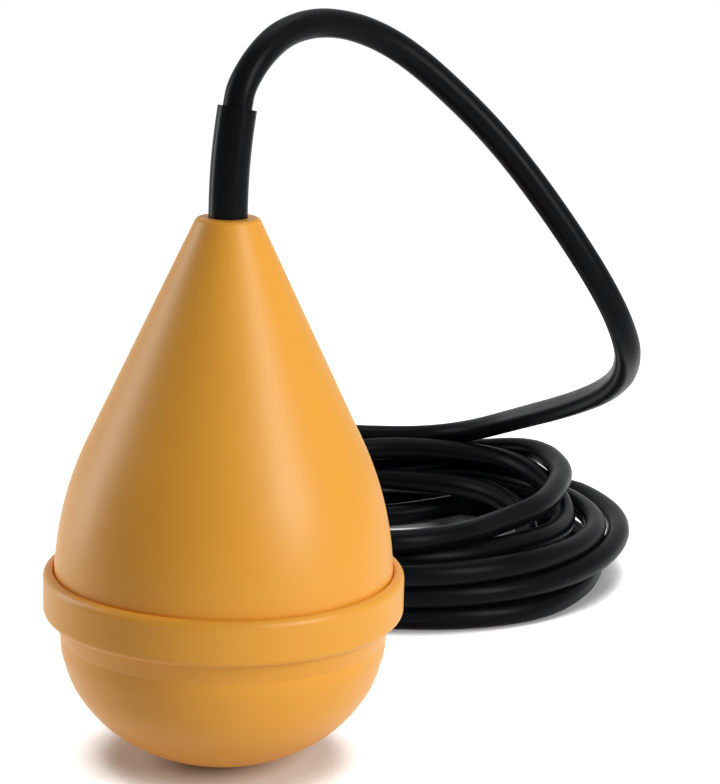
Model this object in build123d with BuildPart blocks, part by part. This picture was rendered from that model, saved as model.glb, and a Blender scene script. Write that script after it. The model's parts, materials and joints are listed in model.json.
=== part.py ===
from build123d import *
import os
from math import asin, atan, cos, degrees, pi, radians, sin, sqrt, tan

# Cable float switch: a pear-shaped hollow float of two mouldings, a bend sleeve and rubber cable at its
# neck, and inside it a ballast weight, a ball in a guide tube and a lever-operated microswitch.
# Millimetres. The origin is the spot that the float stands on, +Z is the float's axis up to its neck.

os.makedirs("parts", exist_ok=True)

# Float outline
FLOAT_HEIGHT = 156.0
NECK_RADIUS = 8.7
NECK_LIP_FILLET = 1.6
BODY_RADIUS = 47.9
SHOULDER_RUN = 21.4
SHELL_WALL = 3.2
BOWL_SET_IN = 1.7
BOWL_DEPTH = 37.4
REST_SPOT_RADIUS = 5.0
BOWL_STEPS = 9

# Collar of the lower shell, which shows as the band round the float
BAND_WALL = 3.0
BAND_RISE = 6.0
BAND_HEIGHT = 13.0
BAND_TOP_FILLET = 2.2
BAND_BOTTOM_FILLET = 2.2
BAND_STEP = 2.8
SEAM_GAP = 0.1
SEAM_BEVEL = 0.5
SEAT_RISE = 1.3
SEAL_THICKNESS = 1.5
SEAL_WIDTH = 2.8
SKIRT_WALL = 3.0
SKIRT_STRAIGHT = 6.0

# Cable, its bend sleeve and its grip in the neck
CABLE_RADIUS = 4.1
CORE_RADIUS = 1.15
CORE_PITCH_RADIUS = 2.3
SLEEVE_WALL = 1.3
SLEEVE_SOCKET_DEPTH = 15.0
SLEEVE_FREE_LENGTH = 30.0
SLEEVE_STRAIGHT = 1.0
SLEEVE_LEAN = 11.0
SLEEVE_LEAN_HEADING = 40.0
FIT_GAP = 0.05
BOSS_RADIUS = 12.5
BOSS_LENGTH = 39.0
NECK_ROOT_DEPTH = 23.0
SEAL_POCKET_RADIUS = 9.0
SEAL_POCKET_DEPTH = 19.0
CABLE_HOLE_GAP = 0.3
BUSH_LENGTH = 10.0
WASHER_THICKNESS = 1.5
GLAND_BORE_GAP = 0.5
GLAND_HEX_ACROSS = 20.0
GLAND_HEX_HEIGHT = 6.0
CLAMP_LENGTH = 8.0
CLAMP_RADIUS = 9.0
CLAMP_EAR_REACH = 15.0
CLAMP_EAR_THICKNESS = 5.0
CLAMP_SPLIT = 0.6
CLAMP_SCREW_SPAN = 24.0
SCREW_RADIUS = 1.45
SCREW_HEAD_RADIUS = 2.75
SCREW_HEAD_HEIGHT = 2.0
SCREW_SLOT = 0.8
SCREW_SLOT_DEPTH = 1.0
SCREW_HEAD_FILLET = 0.5

# Ballast weight in the bowl
BALLAST_TOP_Z = 20.0
BALLAST_GAP = 0.3
BALLAST_EDGE_FILLET = 1.0
PILLAR_COUNT = 3
PILLAR_RADIUS = 4.0
PILLAR_INSET = 7.0
PILLAR_NOTCH_GAP = 0.5
PILLAR_PILOT_DEPTH = 10.0
PILOT_END_GAP = 1.0

# Ball and its guide tube
BALL_RADIUS = 9.0
BALL_GAP = 0.4
BALL_SEAT_GAP = 0.2
BALL_TRAVEL = 26.0
TUBE_WALL = 2.0
TUBE_FLOOR_Z = 9.5
TUBE_FLANGE_RADIUS = 17.0
TUBE_FLANGE_THICKNESS = 2.5
TUBE_TOP_Z = 47.0
BUFFER_THICKNESS = 3.0

# Carrier that holds the tube and the microswitch
CARRIER_Z = 36.0
CARRIER_THICKNESS = 3.0
CARRIER_EDGE_GAP = 0.6
CARRIER_WINDOW_RADIUS = 6.5
CARRIER_WINDOW_CIRCLE = 27.0
COLLAR_WALL = 2.6
COLLAR_LIP = 1.6
UPRIGHT_THICKNESS = 3.0
UPRIGHT_WIDTH = 29.0
UPRIGHT_TOP_GAP = 1.0

# Microswitch
SWITCH_LENGTH = 27.8
SWITCH_HEIGHT = 15.9
SWITCH_BASE_DEPTH = 8.3
SWITCH_COVER_DEPTH = 2.0
SWITCH_EDGE_FILLET = 0.8
SWITCH_HOLE_RADIUS = 1.55
SWITCH_HOLE_INSET = 2.8
SWITCH_FACE_GAP = 1.7
LEVER_PIVOT_X = -11.5
LEVER_LENGTH = 24.0
LEVER_WIDTH = 4.6
LEVER_THICKNESS = 0.5
LEVER_ANGLE = 8.0
LEVER_BALL_GAP = 0.3
LEVER_EAR_RADIUS = 1.3
LEVER_ROOT = 2.8
LEVER_PIN_RADIUS = 0.5
LEVER_PIN_GAP = 0.06
LUG_WIDTH = 3.0
LUG_REACH = 1.7
PLUNGER_ARM = 7.5
PLUNGER_RADIUS = 1.4
PLUNGER_GAP = 0.08
PLUNGER_TIP_GAP = 0.1
PLUNGER_BURIED = 4.0
TERMINAL_SPACING = 9.0
TERMINAL_WIDTH = 4.8
TERMINAL_THICKNESS = 0.5
TERMINAL_HEIGHT = 6.4
RECEPTACLE_WALL = 0.45
RECEPTACLE_GAP = 0.05
BARREL_LENGTH = 4.0
BARREL_RADIUS = 1.6
CORE_RUN = 8.7
CORE_STRAIGHT_LOW = 2.9
CORE_STRAIGHT_HIGH = 2.6
CORE_FIRST_ANGLE = 210.0

# Coil of the cable on the floor behind the float
COIL_CENTRE = (55.0, 185.0)
COIL_HALF_WIDTH = 81.5
COIL_HALF_DEPTH = 79.0
COIL_BAND_ACROSS = 34.5
COIL_BAND_ALONG = 24.0
COIL_HOLE_SHIFT = (-7.0, 1.0)
COIL_HEIGHT = 34.5
COIL_EDGE_FILLET = 8.0

# Free end of the cable
END_CORE_STEP = 9.0
FERRULE_RADIUS = 0.85
FERRULE_LENGTH = 8.0
FERRULE_COLLAR_RADIUS = 1.6
FERRULE_COLLAR_LENGTH = 4.0

# Route of the free cable, straight out of the sleeve's mouth, then up, over and down to the coil's rear
ARCH_EXIT_RUN = 6.0
ARCH_POINTS = [
    (7.8, 8.0, 199.8),
    (14.3, 16.8, 205.6),
    (24.0, 28.0, 207.5),
    (35.2, 38.5, 205.0),
    (47.0, 45.5, 198.8),
    (60.0, 49.5, 188.2),
    (77.0, 52.0, 171.8),
    (95.0, 54.0, 149.0),
    (110.5, 57.5, 126.0),
    (118.2, 67.0, 109.5),
    (120.4, 84.0, 98.5),
    (120.0, 106.0, 88.3),
    (116.8, 130.0, 78.6),
    (110.8, 155.0, 69.2),
    (104.8, 180.0, 60.6),
    (98.2, 205.0, 52.1),
    (91.0, 229.0, 43.6),
    (80.0, 247.5, 35.5),
    (66.0, 257.5, 30.6),
    (49.5, 260.0, 29.2),
]

# Route of the cable's end, out of the coil's left side and along the floor beside the float
TAIL_Z = 4.3
TAIL_POINTS = [
    (-17.0, 228.0, TAIL_Z),
    (-28.0, 211.0, TAIL_Z),
    (-35.5, 191.0, TAIL_Z),
    (-38.5, 170.0, TAIL_Z),
    (-38.0, 149.0, TAIL_Z),
    (-35.0, 129.0, TAIL_Z),
    (-31.0, 112.0, TAIL_Z),
    (-31.0, 97.0, TAIL_Z),
]
# Routes of the three stripped cores, as steps from the sheath's end: sideways share, along, height
END_CORE_STEPS = [
    (0.0, 4.0, TAIL_Z),
    (0.3, 9.5, 3.9),
    (0.75, 15.5, 2.8),
    (1.0, 22.0, 2.1),
    (1.0, 29.0, 2.0),
]
END_CORE_NAMES = ["brown", "black", "blue"]

# Part of a route's run that the arc at each of its corners may take
RUN_SHARE = 0.45
END_RUN_SHARE = 0.9


def finish(part, name):
    """Label a finished piece and write it as one STEP file."""
    part.label = name
    export_step(part, f"parts/{name}.step")


def corner_radii(points):
    """Radius of the arc at each corner of a route: as large as its two runs allow."""
    corners = [Vector(*point) for point in points]
    shares = [END_RUN_SHARE] + [RUN_SHARE] * (len(corners) - 3) + [END_RUN_SHARE]
    reaches = [(end - start).length * share for start, end, share in zip(corners, corners[1:], shares)]
    radii = []
    for index in range(1, len(corners) - 1):
        turn = (corners[index] - corners[index - 1]).get_angle(corners[index + 1] - corners[index])
        radii.append(min(reaches[index - 1], reaches[index]) / tan(radians(turn) / 2))
    return radii


def report_route(name, points, path, section_radius, volume):
    """Print a route's length and radii, and its volume against section times length."""
    path_length = sum(edge.length for edge in path.edges())
    radii = ", ".join(f"{radius:.0f}" for radius in corner_radii(points))
    print(f"{name}: length {path_length:.1f}, radii {radii}, "
          f"volume ratio {volume / (pi * section_radius**2 * path_length):.4f}")


# Heights and radii that follow from the sizes above
bowl_radius = BODY_RADIUS - BOWL_SET_IN
bowl_centre_z = BOWL_DEPTH * sqrt(1 - (REST_SPOT_RADIUS / bowl_radius) ** 2)
cavity_radius = bowl_radius - SHELL_WALL
cavity_depth = BOWL_DEPTH - SHELL_WALL
socket_radius = BODY_RADIUS + SEAM_GAP
band_radius = socket_radius + BAND_WALL
band_bottom_z = bowl_centre_z + BAND_RISE
band_top_z = band_bottom_z + BAND_HEIGHT
seat_z = band_bottom_z + SEAT_RISE
skirt_end_z = seat_z + SEAL_THICKNESS
skirt_inner_radius = BODY_RADIUS - SKIRT_WALL
shoulder_z = skirt_end_z + SKIRT_STRAIGHT
corner_z = shoulder_z + SHOULDER_RUN
cone_angle = atan((BODY_RADIUS - NECK_RADIUS) / (FLOAT_HEIGHT - corner_z))
cone_reach = NECK_RADIUS * cos(cone_angle) + FLOAT_HEIGHT * sin(cone_angle)
shoulder_arc = SHOULDER_RUN / tan(cone_angle / 2)
arc_centre_r = BODY_RADIUS - shoulder_arc


def shoulder_point(angle, inset=0.0):
    """Point of the shoulder's arc at an angle above level, set in by a wall."""
    reach = shoulder_arc - inset
    return (arc_centre_r + reach * cos(angle), shoulder_z + reach * sin(angle))


def cone_radius(z, inset=0.0):
    """Radius of the cone at a height, set in by a wall."""
    return (cone_reach - z * sin(cone_angle) - inset) / cos(cone_angle)


def bowl_points(radius, depth, start_r):
    """Points of a bowl's quarter ellipse from a radius near its pole out to its rim."""
    first = asin(start_r / radius)
    angles = [first + (pi / 2 - first) * step / BOWL_STEPS for step in range(BOWL_STEPS + 1)]
    return [(radius * sin(angle), bowl_centre_z - depth * cos(angle)) for angle in angles]


sleeve_bore = CABLE_RADIUS + FIT_GAP
sleeve_radius = sleeve_bore + SLEEVE_WALL
sleeve_socket_radius = sleeve_radius + FIT_GAP
cable_hole_radius = CABLE_RADIUS + CABLE_HOLE_GAP
boss_end_z = FLOAT_HEIGHT - BOSS_LENGTH
root_z = FLOAT_HEIGHT - NECK_ROOT_DEPTH
socket_floor_z = FLOAT_HEIGHT - SLEEVE_SOCKET_DEPTH
pocket_top_z = FLOAT_HEIGHT - SEAL_POCKET_DEPTH
washer_top_z = pocket_top_z - BUSH_LENGTH
gland_top_z = washer_top_z - WASHER_THICKNESS
gland_end_z = boss_end_z - GLAND_HEX_HEIGHT
clamp_end_z = gland_end_z - CLAMP_LENGTH

pillar_circle = cavity_radius - PILLAR_INSET
carrier_drop = max(bowl_centre_z - CARRIER_Z, 0)
carrier_radius = cavity_radius * sqrt(1 - (carrier_drop / cavity_depth) ** 2) - CARRIER_EDGE_GAP

tube_bore = BALL_RADIUS + BALL_GAP
tube_radius = tube_bore + TUBE_WALL
buffer_z = TUBE_FLOOR_Z + TUBE_WALL
ball_z = buffer_z + BUFFER_THICKNESS + BALL_SEAT_GAP + BALL_RADIUS
ball_top_z = ball_z + BALL_TRAVEL
collar_radius = tube_radius + FIT_GAP + COLLAR_WALL

lever_tilt = radians(LEVER_ANGLE)
lever_half = LEVER_THICKNESS / 2
lever_z_over_ball = ball_top_z + (BALL_RADIUS + LEVER_BALL_GAP + lever_half) / cos(lever_tilt)
pivot_z = lever_z_over_ball - LEVER_PIVOT_X * tan(lever_tilt)
switch_z = pivot_z + SWITCH_FACE_GAP
switch_top_z = switch_z + SWITCH_HEIGHT
switch_front_y = -(SWITCH_BASE_DEPTH + SWITCH_COVER_DEPTH) / 2
cover_y = switch_front_y + SWITCH_BASE_DEPTH
switch_back_y = cover_y + SWITCH_COVER_DEPTH
plunger_x = LEVER_PIVOT_X + PLUNGER_ARM
plunger_dome_rise = (lever_half + PLUNGER_TIP_GAP + PLUNGER_RADIUS) / cos(lever_tilt)
plunger_dome_z = pivot_z - PLUNGER_ARM * tan(lever_tilt) + plunger_dome_rise
plunger_travel = PLUNGER_ARM * lever_tilt
switch_holes = [
    (SWITCH_LENGTH / 2 - SWITCH_HOLE_INSET, switch_z + SWITCH_HOLE_INSET),
    (SWITCH_HOLE_INSET - SWITCH_LENGTH / 2, switch_top_z - SWITCH_HOLE_INSET),
]
terminal_places = {
    "common": -TERMINAL_SPACING,
    "closed": 0.0,
    "open": TERMINAL_SPACING,
}
upright_z = CARRIER_Z + CARRIER_THICKNESS
upright_top_z = switch_top_z - UPRIGHT_TOP_GAP

# Upper shell: neck, cone, shoulder and the skirt that enters the lower shell's collar
cone_foot = shoulder_point(cone_angle)
cone_foot_inner = shoulder_point(cone_angle, SHELL_WALL)
with BuildPart() as upper_shell:
    with BuildSketch(Plane.XZ):
        with BuildLine():
            Polyline(
                (sleeve_socket_radius, FLOAT_HEIGHT),
                (NECK_RADIUS, FLOAT_HEIGHT),
                cone_foot,
            )
            ThreePointArc(cone_foot, shoulder_point(cone_angle / 2), (BODY_RADIUS, shoulder_z))
            Polyline(
                (BODY_RADIUS, shoulder_z),
                (BODY_RADIUS, skirt_end_z),
                (skirt_inner_radius, skirt_end_z),
                (skirt_inner_radius, shoulder_z - SHELL_WALL),
                shoulder_point(0.0, SHELL_WALL),
            )
            ThreePointArc(
                shoulder_point(0.0, SHELL_WALL),
                shoulder_point(cone_angle / 2, SHELL_WALL),
                cone_foot_inner,
            )
            Polyline(
                cone_foot_inner,
                (cone_radius(root_z, SHELL_WALL), root_z),
                (BOSS_RADIUS, root_z),
                (BOSS_RADIUS, boss_end_z),
                (SEAL_POCKET_RADIUS, boss_end_z),
                (SEAL_POCKET_RADIUS, pocket_top_z),
                (cable_hole_radius, pocket_top_z),
                (cable_hole_radius, socket_floor_z),
                (sleeve_socket_radius, socket_floor_z),
                (sleeve_socket_radius, FLOAT_HEIGHT),
            )
        make_face()
    revolve(axis=Axis.Z)
    neck_edges = upper_shell.edges().filter_by(GeomType.CIRCLE).group_by(Axis.Z)[-1]
    fillet(neck_edges.sort_by(SortBy.RADIUS)[-1], NECK_LIP_FILLET)
finish(upper_shell.part, "upper_shell")

# Lower shell: the bowl, its collar round the seam, and three screw pillars for the carrier
bowl_outside = bowl_points(bowl_radius, BOWL_DEPTH, REST_SPOT_RADIUS)
bowl_inside = bowl_points(cavity_radius, cavity_depth, 0.0)
bowl_start_slope = BOWL_DEPTH**2 * REST_SPOT_RADIUS / (bowl_radius**2 * bowl_centre_z)
bowl_start_tangent = (1, bowl_start_slope)
with BuildPart() as lower_shell:
    with BuildSketch(Plane.XZ):
        with BuildLine():
            Line((0, 0), (REST_SPOT_RADIUS, 0))
            Spline(*bowl_outside, tangents=[bowl_start_tangent, (0, 1)])
            Polyline(
                bowl_outside[-1],
                (band_radius - BAND_STEP, band_bottom_z),
                (band_radius, band_bottom_z),
                (band_radius, band_top_z),
                (socket_radius, band_top_z),
                (socket_radius, seat_z),
                (cavity_radius, seat_z),
                bowl_inside[-1],
            )
            Spline(*reversed(bowl_inside), tangents=[(0, -1), (-1, 0)])
            Line(bowl_inside[0], (0, 0))
        make_face()
    revolve(axis=Axis.Z)
    rim_edges = lower_shell.edges().filter_by(GeomType.CIRCLE)
    fillet([edge for edge in rim_edges if abs(edge.radius - band_radius) < FIT_GAP
            and edge.center().Z > band_top_z - FIT_GAP], BAND_TOP_FILLET)
    rim_edges = lower_shell.edges().filter_by(GeomType.CIRCLE)
    fillet([edge for edge in rim_edges if abs(edge.radius - band_radius) < FIT_GAP
            and edge.center().Z < band_bottom_z + FIT_GAP], BAND_BOTTOM_FILLET)
    rim_edges = lower_shell.edges().filter_by(GeomType.CIRCLE)
    chamfer([edge for edge in rim_edges if abs(edge.radius - socket_radius) < FIT_GAP
             and edge.center().Z > band_top_z - FIT_GAP], SEAM_BEVEL)
    # Pillars stand on the bowl's inner wall, with a pilot hole for each carrier screw
    with BuildSketch(Plane.XY.offset(CARRIER_Z)):
        with PolarLocations(pillar_circle, PILLAR_COUNT, start_angle=90):
            Circle(PILLAR_RADIUS)
    extrude(until=Until.NEXT, dir=(0, 0, -1))
    with Locations(Plane.XY.offset(CARRIER_Z)):
        with PolarLocations(pillar_circle, PILLAR_COUNT, start_angle=90):
            Hole(SCREW_RADIUS, PILLAR_PILOT_DEPTH)
finish(lower_shell.part, "lower_shell")

# Flat seal that the skirt presses onto the lower shell's seat
with BuildPart() as seam_seal:
    with BuildSketch(Plane.XY.offset(seat_z)):
        Circle(BODY_RADIUS)
        Circle(BODY_RADIUS - SEAL_WIDTH, mode=Mode.SUBTRACT)
    extrude(amount=SEAL_THICKNESS)
finish(seam_seal.part, "seam_seal")

# Ballast weight: fills the bowl's bottom, with a socket for the guide tube and notches for the pillars
ballast_points = bowl_points(cavity_radius - BALLAST_GAP, cavity_depth - BALLAST_GAP, 0.0)
with BuildPart() as ballast_weight:
    with BuildSketch(Plane.XZ):
        with BuildLine():
            Spline(*ballast_points, tangents=[(1, 0), (0, 1)])
            Polyline(ballast_points[-1], (0, bowl_centre_z), ballast_points[0])
        make_face()
    revolve(axis=Axis.Z)
    split(bisect_by=Plane.XY.offset(BALLAST_TOP_Z), keep=Keep.BOTTOM)
    fillet(ballast_weight.edges().group_by(Axis.Z)[-1], BALLAST_EDGE_FILLET)
    with Locations((0, 0, BALLAST_TOP_Z)):
        Hole(tube_radius + BALL_GAP, BALLAST_TOP_Z - TUBE_FLOOR_Z + BALL_GAP)
    with Locations(Plane.XY.offset(BALLAST_TOP_Z)):
        with PolarLocations(pillar_circle, PILLAR_COUNT, start_angle=90):
            Hole(PILLAR_RADIUS + PILLAR_NOTCH_GAP, BALLAST_TOP_Z)
finish(ballast_weight.part, "ballast_weight")

# Guide tube: closed at its foot, with a flange that holds the ballast down
with BuildPart() as guide_tube:
    with BuildSketch(Plane.XZ):
        with BuildLine():
            Polyline(
                (0, TUBE_FLOOR_Z),
                (tube_radius, TUBE_FLOOR_Z),
                (tube_radius, BALLAST_TOP_Z),
                (TUBE_FLANGE_RADIUS, BALLAST_TOP_Z),
                (TUBE_FLANGE_RADIUS, BALLAST_TOP_Z + TUBE_FLANGE_THICKNESS),
                (tube_radius, BALLAST_TOP_Z + TUBE_FLANGE_THICKNESS),
                (tube_radius, TUBE_TOP_Z),
                (tube_bore, TUBE_TOP_Z),
                (tube_bore, buffer_z),
                (0, buffer_z),
                close=True,
            )
        make_face()
    revolve(axis=Axis.Z)
finish(guide_tube.part, "guide_tube")

# Rubber buffer that the ball drops onto
with BuildPart() as end_buffer:
    with BuildSketch(Plane.XY.offset(buffer_z)):
        Circle(tube_bore - FIT_GAP)
    extrude(amount=BUFFER_THICKNESS)
    fillet(end_buffer.edges().group_by(Axis.Z)[-1], SWITCH_EDGE_FILLET)
finish(end_buffer.part, "end_buffer")

# Steel ball at the bottom of its travel
with BuildPart() as steel_ball:
    with Locations((0, 0, ball_z)):
        Sphere(BALL_RADIUS)
finish(steel_ball.part, "steel_ball")

# Carrier: a plate on the pillars, a collar that holds the tube, and an upright for the microswitch
with BuildPart() as switch_carrier:
    with BuildSketch(Plane.XY.offset(CARRIER_Z)):
        Circle(carrier_radius)
        with PolarLocations(CARRIER_WINDOW_CIRCLE, PILLAR_COUNT, start_angle=-90):
            Circle(CARRIER_WINDOW_RADIUS, mode=Mode.SUBTRACT)
        with PolarLocations(pillar_circle, PILLAR_COUNT, start_angle=90):
            Circle(SCREW_RADIUS + FIT_GAP, mode=Mode.SUBTRACT)
    extrude(amount=CARRIER_THICKNESS)
    with BuildSketch(Plane.XY.offset(CARRIER_Z)):
        Circle(collar_radius)
    extrude(amount=TUBE_TOP_Z + COLLAR_LIP - CARRIER_Z)
    with BuildSketch(Plane.XZ.offset(-switch_back_y)):
        with Locations((0, upright_z)):
            Rectangle(UPRIGHT_WIDTH, upright_top_z - upright_z, align=(Align.CENTER, Align.MIN))
    extrude(amount=-UPRIGHT_THICKNESS)
    with Locations((0, 0, CARRIER_Z)):
        Cylinder(tube_radius + FIT_GAP, TUBE_TOP_Z - CARRIER_Z,
                 align=(Align.CENTER, Align.CENTER, Align.MIN), mode=Mode.SUBTRACT)
        Cylinder(tube_bore + FIT_GAP, switch_z - CARRIER_Z,
                 align=(Align.CENTER, Align.CENTER, Align.MIN), mode=Mode.SUBTRACT)
    with BuildSketch(Plane.XZ.offset(-switch_back_y)):
        with Locations(*switch_holes):
            Circle(SCREW_RADIUS + FIT_GAP)
    extrude(amount=-UPRIGHT_THICKNESS, mode=Mode.SUBTRACT)
finish(switch_carrier.part, "switch_carrier")


def pan_head_screw(plane, shank_length):
    """Pan head screw with a driver slot: its head above the plane, its shank below."""
    with BuildPart() as screw:
        with BuildSketch(plane):
            Circle(SCREW_RADIUS)
        extrude(amount=-shank_length)
        with BuildSketch(plane):
            Circle(SCREW_HEAD_RADIUS)
        extrude(amount=SCREW_HEAD_HEIGHT)
        fillet(screw.faces().sort_by(Axis(plane.origin, plane.z_dir))[-1].edges(), SCREW_HEAD_FILLET)
        with BuildSketch(plane.offset(SCREW_HEAD_HEIGHT)):
            Rectangle(2 * SCREW_HEAD_RADIUS, SCREW_SLOT)
        extrude(amount=-SCREW_SLOT_DEPTH, mode=Mode.SUBTRACT)
    return screw.part


# Three screws through the carrier plate into the pillars
carrier_screw_length = CARRIER_THICKNESS + PILLAR_PILOT_DEPTH - PILOT_END_GAP
carrier_screw = pan_head_screw(Plane.XY.offset(upright_z), carrier_screw_length)
with BuildPart() as carrier_screws:
    with PolarLocations(pillar_circle, PILLAR_COUNT, start_angle=90):
        add(carrier_screw)
finish(carrier_screws.part, "carrier_screws")

# Microswitch base: a moulded block with the lever's lug under it and a guide hole for the plunger
with BuildPart() as microswitch_base:
    with BuildSketch(Plane.XZ.offset(-cover_y)):
        with Locations((0, switch_z)):
            Rectangle(SWITCH_LENGTH, SWITCH_HEIGHT, align=(Align.CENTER, Align.MIN))
        with Locations(*switch_holes):
            Circle(SWITCH_HOLE_RADIUS, mode=Mode.SUBTRACT)
    extrude(amount=SWITCH_BASE_DEPTH)
    front_edges = microswitch_base.faces().sort_by(Axis.Y)[0].outer_wire().edges()
    fillet(front_edges, SWITCH_EDGE_FILLET)
    with BuildSketch(Plane.XZ):
        with Locations((LEVER_PIVOT_X, pivot_z)):
            Circle(LUG_REACH)
            Rectangle(2 * LUG_REACH, SWITCH_FACE_GAP + SWITCH_EDGE_FILLET, align=(Align.CENTER, Align.MIN))
            Circle(LEVER_PIN_RADIUS + FIT_GAP / 2, mode=Mode.SUBTRACT)
    extrude(amount=LUG_WIDTH / 2, both=True)
    with Locations((plunger_x, 0, switch_z)):
        Cylinder(PLUNGER_RADIUS + PLUNGER_GAP, PLUNGER_BURIED + plunger_travel + PLUNGER_TIP_GAP,
                 align=(Align.CENTER, Align.CENTER, Align.MIN), mode=Mode.SUBTRACT)
finish(microswitch_base.part, "microswitch_base")

# Microswitch cover: the plate that closes the block's back
with BuildPart() as microswitch_cover:
    with BuildSketch(Plane.XZ.offset(-switch_back_y)):
        with Locations((0, switch_z)):
            Rectangle(SWITCH_LENGTH, SWITCH_HEIGHT, align=(Align.CENTER, Align.MIN))
        with Locations(*switch_holes):
            Circle(SWITCH_HOLE_RADIUS, mode=Mode.SUBTRACT)
    extrude(amount=SWITCH_COVER_DEPTH)
finish(microswitch_cover.part, "microswitch_cover")

# Plunger: a pin with a domed tip that the lever pushes into the block
with BuildPart() as switch_plunger:
    with Locations((plunger_x, 0, plunger_dome_z)):
        Sphere(PLUNGER_RADIUS)
        Cylinder(PLUNGER_RADIUS, switch_z + PLUNGER_BURIED - plunger_dome_z,
                 align=(Align.CENTER, Align.CENTER, Align.MIN))
finish(switch_plunger.part, "switch_plunger")

# Lever: a sheet strip with two ears bent up round the pin
lever_plane = Plane(
    origin=(LEVER_PIVOT_X, 0, pivot_z),
    x_dir=(cos(lever_tilt), 0, -sin(lever_tilt)),
    z_dir=(0, -1, 0),
)
with BuildPart() as switch_lever:
    with BuildSketch(lever_plane):
        with Locations((LEVER_ROOT, 0)):
            Rectangle(LEVER_LENGTH - LEVER_ROOT, LEVER_THICKNESS, align=(Align.MIN, Align.CENTER))
    extrude(amount=LEVER_WIDTH / 2, both=True)
    for side in (-1, 1):
        ear_plane = lever_plane.offset(side * (LEVER_WIDTH - LEVER_THICKNESS) / 2)
        with BuildSketch(ear_plane):
            Circle(LEVER_EAR_RADIUS)
            with Locations((0, -lever_half)):
                Rectangle(LEVER_ROOT + 2 * LEVER_THICKNESS, lever_half + LEVER_EAR_RADIUS,
                          align=(Align.MIN, Align.MIN))
            Circle(LEVER_PIN_RADIUS + LEVER_PIN_GAP, mode=Mode.SUBTRACT)
        extrude(amount=lever_half, both=True)
finish(switch_lever.part, "switch_lever")

# Pin that the lever turns on, held in the lug
with BuildPart() as lever_pin:
    with BuildSketch(Plane.XZ):
        with Locations((LEVER_PIVOT_X, pivot_z)):
            Circle(LEVER_PIN_RADIUS)
    extrude(amount=LEVER_WIDTH / 2 + LEVER_PIN_RADIUS, both=True)
finish(lever_pin.part, "lever_pin")

# Two screws that hold the microswitch against the upright
with BuildPart() as switch_screws:
    for hole_x, hole_z in switch_holes:
        screw_plane = Plane(origin=(hole_x, switch_front_y, hole_z), x_dir=(1, 0, 0), z_dir=(0, -1, 0))
        add(pan_head_screw(screw_plane, SWITCH_BASE_DEPTH + SWITCH_COVER_DEPTH + UPRIGHT_THICKNESS))
finish(switch_screws.part, "switch_screws")

# Blade terminals on the microswitch, and the crimped receptacles pushed onto them
receptacle_width = TERMINAL_WIDTH + 2 * (RECEPTACLE_GAP + RECEPTACLE_WALL)
receptacle_depth = TERMINAL_THICKNESS + 2 * (RECEPTACLE_GAP + RECEPTACLE_WALL)
receptacle_z = switch_top_z + RECEPTACLE_WALL
barrel_z = switch_top_z + TERMINAL_HEIGHT + RECEPTACLE_WALL
barrel_top_z = barrel_z + BARREL_LENGTH
sheath_end_z = barrel_top_z + CORE_RUN
for contact, place_x in terminal_places.items():
    with BuildPart() as terminal:
        with BuildSketch(Plane.XY.offset(switch_top_z)):
            with Locations((place_x, 0)):
                Rectangle(TERMINAL_WIDTH, TERMINAL_THICKNESS)
        extrude(amount=TERMINAL_HEIGHT)
        chamfer(terminal.edges().group_by(Axis.Z)[-1].filter_by(Axis.Y), TERMINAL_THICKNESS)
    finish(terminal.part, f"terminal_{contact}")

    with BuildPart() as receptacle:
        with BuildSketch(Plane.XY.offset(receptacle_z)):
            with Locations((place_x, 0)):
                Rectangle(receptacle_width, receptacle_depth)
        extrude(amount=barrel_z - receptacle_z)
        fillet(receptacle.edges().filter_by(Axis.Z), RECEPTACLE_WALL)
        with BuildSketch(Plane.XY.offset(receptacle_z)):
            with Locations((place_x, 0)):
                Rectangle(TERMINAL_WIDTH + 2 * RECEPTACLE_GAP, TERMINAL_THICKNESS + 2 * RECEPTACLE_GAP)
        extrude(amount=TERMINAL_HEIGHT - RECEPTACLE_WALL + RECEPTACLE_GAP, mode=Mode.SUBTRACT)
        with BuildSketch(Plane.XY.offset(barrel_z)):
            with Locations((place_x, 0)):
                Circle(BARREL_RADIUS)
        extrude(amount=BARREL_LENGTH)
    finish(receptacle.part, f"receptacle_{contact}")

# Cores from the receptacles up to the end of the sheath
for index, (contact, place_x) in enumerate(terminal_places.items()):
    core_angle = radians(CORE_FIRST_ANGLE - index * 360 / len(terminal_places))
    end_x, end_y = CORE_PITCH_RADIUS * cos(core_angle), CORE_PITCH_RADIUS * sin(core_angle)
    core_points = [
        (place_x, 0, barrel_top_z),
        (place_x, 0, barrel_top_z + CORE_STRAIGHT_LOW),
        (end_x, end_y, sheath_end_z - CORE_STRAIGHT_HIGH),
        (end_x, end_y, sheath_end_z),
    ]
    with BuildPart() as inner_core:
        with BuildLine():
            FilletPolyline(*core_points, radius=corner_radii(core_points))
        with BuildSketch(Plane(origin=core_points[0], z_dir=(0, 0, 1))):
            Circle(CORE_RADIUS)
        sweep()
    finish(inner_core.part, f"inner_core_{contact}")

# Cable seal bush, thrust washer and hollow gland screw in the neck's boss
with BuildPart() as seal_bush:
    with BuildSketch(Plane.XY.offset(washer_top_z)):
        Circle(SEAL_POCKET_RADIUS - FIT_GAP)
        Circle(CABLE_RADIUS + FIT_GAP, mode=Mode.SUBTRACT)
    extrude(amount=BUSH_LENGTH)
finish(seal_bush.part, "seal_bush")

with BuildPart() as thrust_washer:
    with BuildSketch(Plane.XY.offset(gland_top_z)):
        Circle(SEAL_POCKET_RADIUS - FIT_GAP)
        Circle(cable_hole_radius, mode=Mode.SUBTRACT)
    extrude(amount=WASHER_THICKNESS)
finish(thrust_washer.part, "thrust_washer")

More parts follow.
